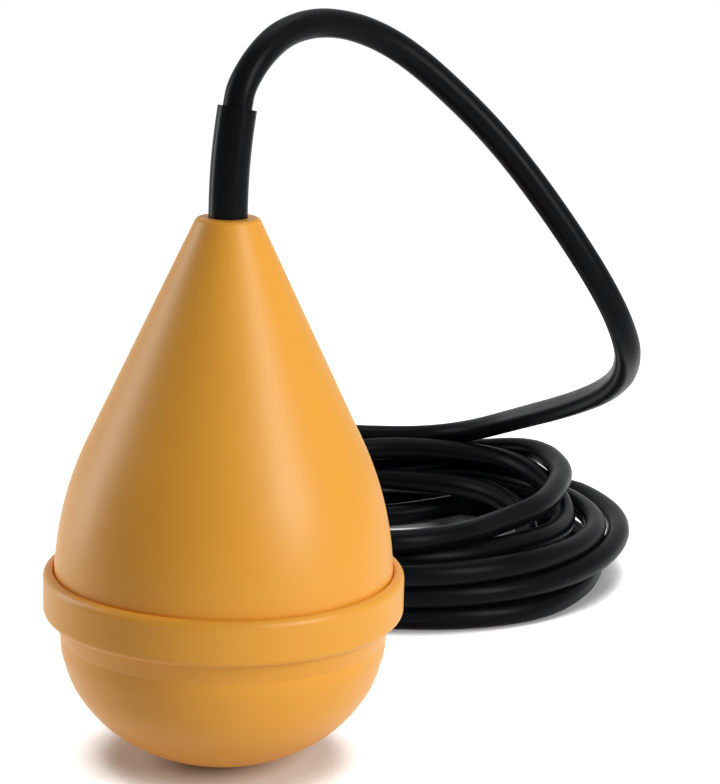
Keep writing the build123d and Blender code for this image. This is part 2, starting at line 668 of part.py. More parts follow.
with BuildPart() as gland_screw:
    with BuildSketch(Plane.XY.offset(boss_end_z)):
        Circle(SEAL_POCKET_RADIUS - FIT_GAP)
    extrude(amount=gland_top_z - boss_end_z)
    with BuildSketch(Plane.XY.offset(boss_end_z)):
        RegularPolygon(GLAND_HEX_ACROSS / 2, 6, major_radius=False)
    extrude(amount=-GLAND_HEX_HEIGHT)
    with Locations((0, 0, gland_top_z)):
        Hole(CABLE_RADIUS + GLAND_BORE_GAP)
finish(gland_screw.part, "gland_screw")

# Cable clamp under the gland screw: two halves and the two screws that draw them together
clamp_half_split = CLAMP_SPLIT / 2
for side, half_name in ((-1, "clamp_half_front"), (1, "clamp_half_back")):
    with BuildPart() as clamp_half:
        with BuildSketch(Plane.XY.offset(clamp_end_z)):
            Circle(CLAMP_RADIUS)
            Rectangle(2 * CLAMP_EAR_REACH, 2 * CLAMP_EAR_THICKNESS)
            Circle(CABLE_RADIUS, mode=Mode.SUBTRACT)
            with Locations((0, -side * CLAMP_RADIUS + side * clamp_half_split)):
                Rectangle(2 * CLAMP_EAR_REACH, 2 * CLAMP_RADIUS, mode=Mode.SUBTRACT)
        extrude(amount=CLAMP_LENGTH)
        with BuildSketch(Plane.XZ):
            with Locations((0, clamp_end_z + CLAMP_LENGTH / 2)):
                with GridLocations(CLAMP_SCREW_SPAN, 0, 2, 1):
                    Circle(SCREW_RADIUS + FIT_GAP)
        extrude(amount=CLAMP_RADIUS, both=True, mode=Mode.SUBTRACT)
    finish(clamp_half.part, half_name)

with BuildPart() as clamp_screws:
    for screw_x in (-CLAMP_SCREW_SPAN / 2, CLAMP_SCREW_SPAN / 2):
        clamp_plane = Plane(
            origin=(screw_x, -CLAMP_EAR_THICKNESS, clamp_end_z + CLAMP_LENGTH / 2),
            x_dir=(1, 0, 0),
            z_dir=(0, -1, 0),
        )
        add(pan_head_screw(clamp_plane, 2 * CLAMP_EAR_THICKNESS))
finish(clamp_screws.part, "clamp_screws")

# Bend sleeve: pushed into the neck's socket, and leaning over with the cable above it
lean = radians(SLEEVE_LEAN)
heading = radians(SLEEVE_LEAN_HEADING)
lean_plane = Plane(
    origin=(0, 0, 0),
    x_dir=(cos(heading), sin(heading), 0),
    z_dir=(sin(heading), -cos(heading), 0),
)
bend_radius = (SLEEVE_FREE_LENGTH - SLEEVE_STRAIGHT) / lean
bend_z = FLOAT_HEIGHT + SLEEVE_STRAIGHT
mouth_reach = bend_radius * (1 - cos(lean))
mouth = lean_plane.from_local_coords(Vector(mouth_reach, bend_z + bend_radius * sin(lean), 0))
mouth_direction = lean_plane.from_local_coords(
    Vector(mouth_reach + sin(lean), bend_z + bend_radius * sin(lean) + cos(lean), 0)
) - mouth


def neck_path(start_z):
    """Route up the float's axis and round the sleeve's bend, from a height to the sleeve's mouth."""
    with BuildLine(lean_plane) as path:
        rise = Line((0, start_z), (0, bend_z))
        JernArc(start=rise @ 1, tangent=(0, 1), radius=bend_radius, arc_size=-SLEEVE_LEAN)
    return path.line


with BuildPart() as bend_sleeve:
    with BuildLine():
        add(neck_path(socket_floor_z))
    with BuildSketch(Plane.XY.offset(socket_floor_z)):
        Circle(sleeve_radius)
        Circle(sleeve_bore, mode=Mode.SUBTRACT)
    sweep()
finish(bend_sleeve.part, "bend_sleeve")

# Cable inside the float, from the stripped end up to the sleeve's mouth
with BuildPart() as neck_cable:
    with BuildLine():
        add(neck_path(sheath_end_z))
    with BuildSketch(Plane.XY.offset(sheath_end_z)):
        Circle(CABLE_RADIUS)
    sweep()
finish(neck_cable.part, "neck_cable")

# Free cable from the sleeve's mouth over its arch to the coil
arch_points = [tuple(mouth), tuple(mouth + mouth_direction * ARCH_EXIT_RUN)] + ARCH_POINTS
with BuildPart() as free_cable:
    with BuildLine() as arch_line:
        FilletPolyline(*arch_points, radius=corner_radii(arch_points))
    with BuildSketch(Plane(origin=mouth, z_dir=mouth_direction)):
        Circle(CABLE_RADIUS)
    sweep()
report_route("free_cable", arch_points, arch_line.line, CABLE_RADIUS, free_cable.part.volume)
finish(free_cable.part, "free_cable")

# Coil of the cable, as the closed outer shape of its turns
with BuildPart() as cable_coil:
    with BuildSketch():
        with Locations(COIL_CENTRE):
            Ellipse(COIL_HALF_WIDTH, COIL_HALF_DEPTH)
            with Locations(COIL_HOLE_SHIFT):
                Ellipse(COIL_HALF_WIDTH - COIL_BAND_ACROSS, COIL_HALF_DEPTH - COIL_BAND_ALONG,
                        mode=Mode.SUBTRACT)
    extrude(amount=COIL_HEIGHT)
    coil_rims = cable_coil.edges().group_by(Axis.Z)
    fillet(coil_rims[0] + coil_rims[-1], COIL_EDGE_FILLET)
finish(cable_coil.part, "cable_coil")

# End of the cable on the floor beside the float
with BuildPart() as cable_tail:
    with BuildLine() as tail_line:
        FilletPolyline(*TAIL_POINTS, radius=corner_radii(TAIL_POINTS))
    with BuildSketch(Plane(origin=TAIL_POINTS[0], z_dir=Vector(*TAIL_POINTS[1]) - Vector(*TAIL_POINTS[0]))):
        Circle(CABLE_RADIUS)
    sweep()
report_route("cable_tail", TAIL_POINTS, tail_line.line, CABLE_RADIUS, cable_tail.part.volume)
finish(cable_tail.part, "cable_tail")

# Three stripped cores at the cable's end, each with a crimped ferrule, lying on the floor
tail_end = Vector(*TAIL_POINTS[-1])
for index, core_name in enumerate(END_CORE_NAMES):
    spread = (index - 1) * END_CORE_STEP
    offset = Vector((index - 1) * CORE_PITCH_RADIUS, 0, 0)
    core_start = tail_end + offset
    core_points = [tuple(core_start)]
    for sideways, along, height in END_CORE_STEPS:
        core_x = tail_end.X + offset.X + sideways * (spread - offset.X)
        core_points.append((core_x, tail_end.Y - along, height))
    with BuildPart() as end_core:
        with BuildLine() as core_line:
            FilletPolyline(*core_points, radius=corner_radii(core_points))
        with BuildSketch(Plane(origin=core_start, z_dir=Vector(*core_points[1]) - core_start)):
            Circle(CORE_RADIUS)
        sweep()
    report_route(f"end_core_{core_name}", core_points, core_line.line, CORE_RADIUS, end_core.part.volume)
    finish(end_core.part, f"end_core_{core_name}")

    last, before = Vector(*core_points[-1]), Vector(*core_points[-2])
    with BuildPart() as ferrule:
        with BuildSketch(Plane(origin=last, z_dir=last - before)):
            Circle(FERRULE_COLLAR_RADIUS)
        extrude(amount=FERRULE_COLLAR_LENGTH)
        with BuildSketch(Plane(origin=last, z_dir=last - before).offset(FERRULE_COLLAR_LENGTH)):
            Circle(FERRULE_RADIUS)
        extrude(amount=FERRULE_LENGTH)
    finish(ferrule.part, f"ferrule_{core_name}")

print("shoulder arc radius", round(shoulder_arc, 2))
print("sleeve mouth", mouth, "direction", mouth_direction)
print("ball at rest z", round(ball_z, 2), "travel", BALL_TRAVEL)
print("lever pivot", LEVER_PIVOT_X, round(pivot_z, 3), "plunger ratio m/rad", PLUNGER_ARM / 1000)
print("lever range deg", degrees(lever_tilt), "plunger travel", round(plunger_travel, 3))
print("sheath end z", sheath_end_z, "barrel top z", round(barrel_top_z, 2))
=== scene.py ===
"""Cable float switch, dressed for rendering.

The float's mouldings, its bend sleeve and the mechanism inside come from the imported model. The cable
is made here as one smooth line, from the sleeve's mouth over its arch, round the coil and out to its
stripped end, and the screws get their threads here. In the model's frame the float stands on the origin
with its axis along Z, the camera looks along +Y, and the coil of cable lies behind the float. The studio
is in metres, and the cable's places and the threads are in millimetres, as their classes say.
"""

from __future__ import annotations

import json
import logging
import math
from bisect import bisect_right
from collections.abc import Mapping
from dataclasses import dataclass, field
from enum import Enum

import bpy
from mathutils import Euler, Matrix, Vector

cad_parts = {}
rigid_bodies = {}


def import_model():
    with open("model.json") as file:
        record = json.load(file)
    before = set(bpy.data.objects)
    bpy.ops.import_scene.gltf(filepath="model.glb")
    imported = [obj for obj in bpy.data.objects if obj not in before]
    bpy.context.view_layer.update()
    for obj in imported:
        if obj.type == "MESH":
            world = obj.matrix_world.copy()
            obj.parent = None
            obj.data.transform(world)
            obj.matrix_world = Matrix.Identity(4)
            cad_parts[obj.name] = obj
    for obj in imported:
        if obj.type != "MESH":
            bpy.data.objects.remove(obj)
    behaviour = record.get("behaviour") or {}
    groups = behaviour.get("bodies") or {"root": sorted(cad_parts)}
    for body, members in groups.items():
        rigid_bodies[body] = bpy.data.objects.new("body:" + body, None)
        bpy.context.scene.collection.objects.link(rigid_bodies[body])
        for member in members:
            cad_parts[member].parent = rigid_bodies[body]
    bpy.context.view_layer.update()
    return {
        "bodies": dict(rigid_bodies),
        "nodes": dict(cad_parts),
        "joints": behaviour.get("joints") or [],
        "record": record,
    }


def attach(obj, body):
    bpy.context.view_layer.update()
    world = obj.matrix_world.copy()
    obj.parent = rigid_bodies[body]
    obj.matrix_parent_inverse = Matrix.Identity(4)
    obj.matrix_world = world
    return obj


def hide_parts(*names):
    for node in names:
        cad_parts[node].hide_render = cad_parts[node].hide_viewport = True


LOG = logging.getLogger("float_switch")
MM = 0.001
FLOAT_BODY = "float"
UP = (0.0, 0.0, 1.0)
BACKWARD = (0.0, 1.0, 0.0)

# Most of a noise texture's values lie between these two.
NOISE_LOW = 0.3
NOISE_HIGH = 0.7
# Layers of finer detail in the slow changes of colour, and how strong each is against the one before.
PATCH_DETAIL = 3.0
PATCH_ROUGHNESS = 0.55
# How far red, green and blue light travel under a surface, as shares of the finish's distance.
SCATTER_SHARES = (1.0, 0.5, 0.2)
BUMP_STRENGTH = 0.5
CAST_SMOOTHNESS = 0.6

# The seed that turns each screw's thread, its points per turn and the sides of its ridge.
THREAD_SEED = 7
THREAD_STEPS = 28
RIDGE_SIDES = 3

# Places of the inputs of a Math or Add Shader node, and of sockets on the Mix and Random Value nodes:
# their names are shared with others.
FIRST = 0
SECOND = 1
MIX_DARK = 6
MIX_LIGHT = 7
MIX_COLOUR = 2
RANDOM_LEAST = 2
RANDOM_MOST = 3
RANDOM_NUMBER = 1

Point = tuple[float, float, float]
Value = bpy.types.NodeSocket | float | str | bool | tuple[float, ...]


def linear(hex_colour: str) -> tuple[float, float, float, float]:
    """Turn an sRGB hex colour into the linear colour that shaders take.

    Args:
        hex_colour: Six hex digits after a hash sign.

    Returns:
        Red, green, blue and an alpha of 1.
    """
    channels = []
    for start in (1, 3, 5):
        share = int(hex_colour[start:start + 2], 16) / 255
        channels.append(share / 12.92 if share <= 0.04045 else ((share + 0.055) / 1.055) ** 2.4)
    return (channels[0], channels[1], channels[2], 1.0)


def add_node(
    tree: bpy.types.NodeTree,
    kind: str,
    settings: Mapping[str, object] | None = None,
    inputs: Mapping[str | int, Value] | None = None,
) -> bpy.types.Node:
    """Add a node to a tree, with its settings, its values and the links into it.

    Args:
        tree: The tree that the node goes into.
        kind: The node's type.
        settings: The node's own properties by name.
        inputs: Its inputs by name or place, each a value or the socket that feeds it.

    Returns:
        The new node.
    """
    node = tree.nodes.new(kind)
    for name, value in (settings or {}).items():
        setattr(node, name, value)
    for key, value in (inputs or {}).items():
        if isinstance(value, bpy.types.NodeSocket):
            tree.links.new(value, node.inputs[key])
        else:
            node.inputs[key].default_value = value
    return node


class Grain(Enum):
    """How a surface's fine relief was made."""

    MOULDED = "spark-eroded mould, a fine even grain"
    EXTRUDED = "drawn through a die, with talc and rubbing left on it"
    CAST = "sand cast, coarse and pitted"
    WORKED = "rolled, turned or ground metal, nearly smooth"

    def noise(self) -> tuple[float, float]:
        """Detail and roughness of its noise texture: drawn rubber is the busiest."""
        return (5.0, 0.7) if self is Grain.EXTRUDED else (2.0, 0.5)


@dataclass(frozen=True)
class Finish:
    """A material and how its surface was made.

    Attributes:
        name: The material's common name and its make.
        light: Its colour where it is palest, as sRGB hex.
        dark: Its colour where it is deepest, as sRGB hex.
        roughness: Roughness of the clean surface.
        rubbed: How much rougher or smoother handling has left it.
        grain: How the fine relief was made.
        grain_mm: Size of the relief's grains.
        relief_mm: Depth of the relief.
        patch_mm: Size of the slow changes of colour.
        metallic: 1 for bare metal.
        gloss: How strongly it reflects, 0.5 for an index of refraction of 1.5.
        scatter: Share of the light that passes under the surface.
        scatter_mm: How far that light travels.
    """

    name: str
    light: str
    dark: str
    roughness: float
    rubbed: float = 0.06
    grain: Grain = Grain.MOULDED
    grain_mm: float = 0.6
    relief_mm: float = 0.01
    patch_mm: float = 30.0
    metallic: float = 0.0
    gloss: float = 0.3
    scatter: float = 0.0
    scatter_mm: float = 1.0

    def build(self) -> bpy.types.Material:
        """Make the material's nodes.

        Returns:
            The material, ready to put on a piece.
        """
        material = bpy.data.materials.new(self.name)
        material.use_nodes = True
        tree = material.node_tree
        tree.nodes.clear()
        place = add_node(tree, "ShaderNodeTexCoord").outputs["Object"]
        patches = add_node(
            tree, "ShaderNodeTexNoise", None,
            {"Vector": place, "Scale": 1 / (self.patch_mm * MM), "Detail": PATCH_DETAIL,
             "Roughness": PATCH_ROUGHNESS},
        ).outputs["Fac"]
        colour = add_node(
            tree, "ShaderNodeMix", {"data_type": "RGBA"},
            {"Factor": patches, MIX_DARK: linear(self.dark), MIX_LIGHT: linear(self.light)},
        ).outputs[MIX_COLOUR]
        rough = add_node(
            tree, "ShaderNodeMapRange", None,
            {"Value": patches, "From Min": NOISE_LOW, "From Max": NOISE_HIGH,
             "To Min": self.roughness - self.rubbed, "To Max": self.roughness + self.rubbed},
        ).outputs["Result"]
        shader = add_node(
            tree, "ShaderNodeBsdfPrincipled", None,
            {"Base Color": colour, "Roughness": rough, "Metallic": self.metallic,
             "Specular IOR Level": self.gloss, "Normal": self.relief(tree, place),
             "Subsurface Weight": self.scatter, "Subsurface Scale": self.scatter_mm * MM,
             "Subsurface Radius": SCATTER_SHARES},
        )
        add_node(tree, "ShaderNodeOutputMaterial", None, {"Surface": shader.outputs["BSDF"]})
        return material

    def relief(self, tree: bpy.types.NodeTree, place: bpy.types.NodeSocket) -> bpy.types.NodeSocket:
        """Make the fine relief of the surface.

        Args:
            tree: The material's tree.
            place: The object coordinates.

        Returns:
            The normal that carries the relief.
        """
        scale = 1 / (self.grain_mm * MM)
        if self.grain is Grain.CAST:
            height = add_node(
                tree, "ShaderNodeTexVoronoi", {"feature": "SMOOTH_F1"},
                {"Vector": place, "Scale": scale, "Smoothness": CAST_SMOOTHNESS},
            ).outputs["Distance"]
        else:
            detail, roughness = self.grain.noise()
            height = add_node(
                tree, "ShaderNodeTexNoise", None,
                {"Vector": place, "Scale": scale, "Detail": detail, "Roughness": roughness},
            ).outputs["Fac"]
        return add_node(
            tree, "ShaderNodeBump", None,
            {"Height": height, "Strength": BUMP_STRENGTH, "Distance": self.relief_mm * MM},
        ).outputs["Normal"]


class Palette(Enum):
    """The finishes of the float switch.

    The real moulded and rolled grains are about 0.1 mm, too fine to show, so they are made coarser here.
    """

    # Injection-moulded polypropylene: satin, a little light passes under its surface and warms the shade.
    FLOAT = Finish(
        "polypropylene_moulded_orange", light="#F2AB3A", dark="#EBA02E", roughness=0.43, rubbed=0.03,
        grain=Grain.MOULDED, grain_mm=0.8, relief_mm=0.012, patch_mm=60.0, gloss=0.4, scatter=0.08,
        scatter_mm=2.0,
    )
    # Extruded chloroprene rubber: near black, with a soft sheen and a haze of talc.
    CABLE = Finish(
        "chloroprene_extruded_black", light="#0B0E11", dark="#060809", roughness=0.34, rubbed=0.05,
        grain=Grain.EXTRUDED, grain_mm=0.9, relief_mm=0.015, patch_mm=14.0, gloss=0.05,
    )
    # Moulded rubber: a smoother skin than the cable's, so its sheen is tighter.
    SLEEVE = Finish(
        "rubber_moulded_black", light="#0A0D10", dark="#06080A", roughness=0.24, rubbed=0.03,
        grain=Grain.MOULDED, grain_mm=0.5, relief_mm=0.006, patch_mm=18.0, gloss=0.06,
    )
    # Nitrile rubber: matt dark grey.
    SEAL = Finish(
        "nitrile_moulded_grey", light="#34363A", dark="#26282B", roughness=0.62, rubbed=0.05,
        grain=Grain.MOULDED, grain_mm=0.4, relief_mm=0.01, patch_mm=12.0,
    )
    # Cast iron: dark, coarse and dull, with oiled patches.
    BALLAST = Finish(
        "cast_iron_oiled", light="#4E4D4C", dark="#343331", roughness=0.55, rubbed=0.1,
        grain=Grain.CAST, grain_mm=1.6, relief_mm=0.12, patch_mm=9.0, metallic=1.0,
    )
    # Natural acetal: milky and slightly waxy.
    CARRIER = Finish(
        "acetal_moulded_natural", light="#DAD8CC", dark="#CBC8BA", roughness=0.38, rubbed=0.05,
        grain=Grain.MOULDED, grain_mm=0.7, relief_mm=0.008, patch_mm=25.0, scatter=0.15, scatter_mm=2.0,
    )
    # Ground bearing steel: bright and mirror smooth.
    BALL = Finish(
        "bearing_steel_ground", light="#C9CBCE", dark="#BFC1C4", roughness=0.12, rubbed=0.03,
        grain=Grain.WORKED, grain_mm=0.4, relief_mm=0.001, patch_mm=8.0, metallic=1.0,
    )
    # Zinc-plated steel: pale and a little cloudy.
    SCREW = Finish(
        "steel_zinc_plated", light="#C4C8CC", dark="#ABB0B6", roughness=0.32, rubbed=0.07,
        grain=Grain.WORKED, grain_mm=0.5, relief_mm=0.004, patch_mm=3.0, metallic=1.0,
    )
    # Rolled stainless strip: grey with a soft glint.
    LEVER = Finish(
        "stainless_strip_rolled", light="#BEBEBC", dark="#AAAAA8", roughness=0.28, rubbed=0.05,
        grain=Grain.WORKED, grain_mm=0.3, relief_mm=0.003, patch_mm=4.0, metallic=1.0,
    )
    # Phenolic moulding: black, dense and slightly glossy.
    SWITCH = Finish(
        "phenolic_moulded_black", light="#26262A", dark="#1B1B1E", roughness=0.36, rubbed=0.04,
        grain=Grain.MOULDED, grain_mm=0.4, relief_mm=0.006, patch_mm=8.0,
    )
    # Red nylon: waxy and bright.
    PLUNGER = Finish(
        "nylon_moulded_red", light="#C2382C", dark="#A82E24", roughness=0.36, rubbed=0.04,
        grain=Grain.MOULDED, grain_mm=0.4, relief_mm=0.005, patch_mm=3.0, scatter=0.1,
    )
    # Glass-filled nylon: charcoal with a dry skin.
    GLAND = Finish(
        "nylon_glass_filled", light="#3A3C40", dark="#2B2D30", roughness=0.5, rubbed=0.06,
        grain=Grain.MOULDED, grain_mm=0.6, relief_mm=0.02, patch_mm=10.0,
    )
    # Stamped brass: yellow with darker handling marks.
    TERMINAL = Finish(
        "brass_stamped", light="#DDBB70", dark="#C39C50", roughness=0.26, rubbed=0.07,
        grain=Grain.WORKED, grain_mm=0.4, relief_mm=0.003, patch_mm=3.0, metallic=1.0,
    )
    # Tinned copper: silvery and soft.
    FERRULE = Finish(
        "copper_tinned", light="#D0D0CE", dark="#B6B6B4", roughness=0.3, rubbed=0.06,
        grain=Grain.WORKED, grain_mm=0.4, relief_mm=0.004, patch_mm=2.5, metallic=1.0,
    )
    # Core insulation: smooth coloured rubber.
    CORE_BROWN = Finish(
        "core_insulation_brown", light="#6E3F26", dark="#5C321D", roughness=0.45, rubbed=0.05,
        grain=Grain.EXTRUDED, grain_mm=0.6, relief_mm=0.008, patch_mm=6.0,
    )
    CORE_BLACK = Finish(
        "core_insulation_black", light="#2A2A2C", dark="#1D1D1F", roughness=0.45, rubbed=0.05,
        grain=Grain.EXTRUDED, grain_mm=0.6, relief_mm=0.008, patch_mm=6.0,
    )
    CORE_BLUE = Finish(
        "core_insulation_blue", light="#2F62A8", dark="#254F8C", roughness=0.45, rubbed=0.05,
        grain=Grain.EXTRUDED, grain_mm=0.6, relief_mm=0.008, patch_mm=6.0,
    )


@dataclass
class Materials:
    """Builds each finish once and puts it on pieces."""

    built: dict[Palette, bpy.types.Material] = field(default_factory=dict)

    def get(self, finish: Palette) -> bpy.types.Material:
        """Give the material of a finish, built on first use.

        Args:
            finish: The finish that is asked for.

        Returns:
            Its material.
        """
        if finish not in self.built:
            self.built[finish] = finish.value.build()
        return self.built[finish]

    def dress(self, piece: bpy.types.Object, finish: Palette) -> None:
        """Put one finish on all of a piece.

        Args:
            piece: A mesh or curve object.
            finish: The finish that it gets.
        """
        piece.data.materials.clear()
        piece.data.materials.append(self.get(finish))

    def dress_nodes(self, frame: dict, finishes: tuple[tuple[str, Palette], ...]) -> None:
        """Give each of the model's nodes its own finish.

        Args:
            frame: The loaded model.
            finishes: The nodes' names, each with its finish.
        """
        for node, finish in finishes:
            self.dress(frame["nodes"][node], finish)


@dataclass(frozen=True)
class CameraRig:
    """The photograph's camera, placed from what it looks at.

    Attributes:
        target: The place that it looks at, in metres.
        distance: How far away it stands, in metres.
        elevation_deg: How far it looks down.
        roll_deg: How far it leans about its line of sight.
        lens_mm: Focal length.
        sensor_mm: Width of the sensor.
        nearest: Where its view begins, in metres.
    """

    target: Point = (0.03725, 0.0, 0.10766)
    distance: float = 0.70176
    elevation_deg: float = 13.21
    roll_deg: float = 1.345
    lens_mm: float = 115.8
    sensor_mm: float = 36.0
    nearest: float = 0.01

    def build(self) -> None:
        """Make the camera and set it as the scene's."""
        data = bpy.data.cameras.new("photo_camera")
        data.lens = self.lens_mm
        data.sensor_width = self.sensor_mm
        data.clip_start = self.nearest
        camera = bpy.data.objects.new("photo_camera", data)
        turn = Euler((math.radians(90 - self.elevation_deg), 0, 0)).to_matrix().to_4x4()
        roll = Matrix.Rotation(math.radians(self.roll_deg), 4, "Z")
        back = turn.to_3x3() @ Vector((0, 0, self.distance))
        camera.matrix_world = Matrix.Translation(Vector(self.target) + back) @ turn @ roll
        bpy.context.scene.collection.objects.link(camera)
        bpy.context.scene.camera = camera


@dataclass(frozen=True)
class Softbox:
    """One white rectangular studio lamp, aimed at a point.

    Attributes:
        name: Name of the lamp.
        place: Where it hangs, in metres.
        aim: The point that it faces, in metres.
        width: Its width in metres.
        height: Its height in metres.
        power: Its power in watts.
    """

    name: str
    place: Point
    aim: Point
    width: float
    height: float
    power: float

    def build(self) -> None:
        """Make the lamp."""
        data = bpy.data.lights.new(self.name, "AREA")
        data.shape = "RECTANGLE"
        data.size = self.width
        data.size_y = self.height
        data.energy = self.power
        lamp = bpy.data.objects.new(self.name, data)
        facing = (Vector(self.aim) - Vector(self.place)).to_track_quat("-Z", "Y")
        lamp.matrix_world = Matrix.Translation(self.place) @ facing.to_matrix().to_4x4()
        bpy.context.scene.collection.objects.link(lamp)


@dataclass(frozen=True)
class Studio:
    """White floor, white surround and the softboxes.

    Attributes:
        floor_half: Half of the floor's side in metres.
        floor_colour: The floor's colour, as sRGB hex.
        floor_glow: What brings the floor to white where it is seen and nothing shades it.
        shade_reach: How near a thing has to be to shade the floor, in metres.
        shade_full: How open the floor is where the shade is deepest, 1 being an open sky.
        shade_none: How open it is where the shade ends.
        shade_samples: Rays that find how open it is.
        surround_level: The surround's light on the object, 1 being the white that is seen.
        lamps: The softboxes.
    """

    floor_half: float = 6.0
    floor_colour: str = "#EDEDED"
    floor_glow: float = 0.96
    shade_reach: float = 0.06
    shade_full: float = 0.4
    shade_none: float = 0.56
    shade_samples: int = 16
    surround_level: float = 0.05
    lamps: tuple[Softbox, ...] = (
        Softbox(
            "key_softbox", place=(0.72, -0.5, 0.5), aim=(0.02, 0.02, 0.09), width=0.3, height=0.6, power=7.5
        ),
        Softbox(
            "rim_softbox", place=(-0.72, 0.26, 0.3), aim=(0.0, 0.0, 0.09), width=0.25, height=0.6, power=3.0
        ),
        Softbox(
            "top_softbox", place=(0.1, 0.35, 1.0), aim=(0.05, 0.12, 0.05), width=0.6, height=0.4, power=2.0
        ),
    )

    def build(self) -> None:
        """Make the floor, the surround and the lamps."""
        bpy.context.scene.view_settings.view_transform = "Standard"
        self.build_floor()
        self.build_surround()
        for lamp in self.lamps:
            lamp.build()

    def shown(self, tree: bpy.types.NodeTree) -> bpy.types.NodeSocket:
        """Say where the background is seen: by the camera, in gloss and through glass.

        Args:
            tree: The tree that asks.

        Returns:
            A socket that is 1 on those rays and 0 on others.
        """
        path = add_node(tree, "ShaderNodeLightPath")
        either = add_node(
            tree, "ShaderNodeMath", {"operation": "MAXIMUM"},
            {FIRST: path.outputs["Is Camera Ray"], SECOND: path.outputs["Is Glossy Ray"]},
        )
        return add_node(
            tree, "ShaderNodeMath", {"operation": "MAXIMUM"},
            {FIRST: either.outputs["Value"], SECOND: path.outputs["Is Transmission Ray"]},
        ).outputs["Value"]

    def build_floor(self) -> None:
        """Make the floor: pale, and white where nothing shades it."""
        half = self.floor_half
        corners = [(-half, -half, 0), (half, -half, 0), (half, half, 0), (-half, half, 0)]
        mesh = bpy.data.meshes.new("studio_floor")
        mesh.from_pydata(corners, [], [(0, 1, 2, 3)])
        floor = bpy.data.objects.new("studio_floor", mesh)
        bpy.context.scene.collection.objects.link(floor)
        material = bpy.data.materials.new("paper_floor_white")
        material.use_nodes = True
        tree = material.node_tree
        tree.nodes.clear()
        paper = add_node(tree, "ShaderNodeBsdfDiffuse", None, {"Color": linear(self.floor_colour)})
        openness = add_node(
            tree, "ShaderNodeAmbientOcclusion", {"samples": self.shade_samples},
            {"Distance": self.shade_reach},
        )
        shade = add_node(
            tree, "ShaderNodeMapRange", None,
            {"Value": openness.outputs["AO"], "From Min": self.shade_full, "From Max": self.shade_none,
             "To Max": self.floor_glow},
        )
        level = add_node(
            tree, "ShaderNodeMath", {"operation": "MULTIPLY"},
            {FIRST: self.shown(tree), SECOND: shade.outputs["Result"]},
        )
        glow = add_node(tree, "ShaderNodeEmission", None, {"Strength": level.outputs["Value"]})
        both = add_node(
            tree, "ShaderNodeAddShader", None,
            {FIRST: paper.outputs["BSDF"], SECOND: glow.outputs["Emission"]},
        )
        add_node(tree, "ShaderNodeOutputMaterial", None, {"Surface": both.outputs["Shader"]})
        mesh.materials.append(material)

    def build_surround(self) -> None:
        """Make the world: white to look at, and a soft even light on the object."""
        world = bpy.data.worlds.new("studio_surround")
        bpy.context.scene.world = world
        world.use_nodes = True
        tree = world.node_tree
        tree.nodes.clear()
        level = add_node(
            tree, "ShaderNodeMapRange", None, {"Value": self.shown(tree), "To Min": self.surround_level}
        )
        light = add_node(tree, "ShaderNodeBackground", None, {"Strength": level.outputs["Result"]})
        add_node(tree, "ShaderNodeOutputWorld", None, {"Surface": light.outputs["Background"]})


@dataclass(frozen=True)
class Turn:
    """One turn of the coil, by the sides that it passes: rear, left, front and right, and between them.

    Attributes:
        reach: Distance from the coil's centre in mm, every eighth of a turn from the rear by the left.
        height: Height of the cable's middle above the floor in mm, at the same places.
    """

    reach: tuple[float, ...]
    height: tuple[float, ...]


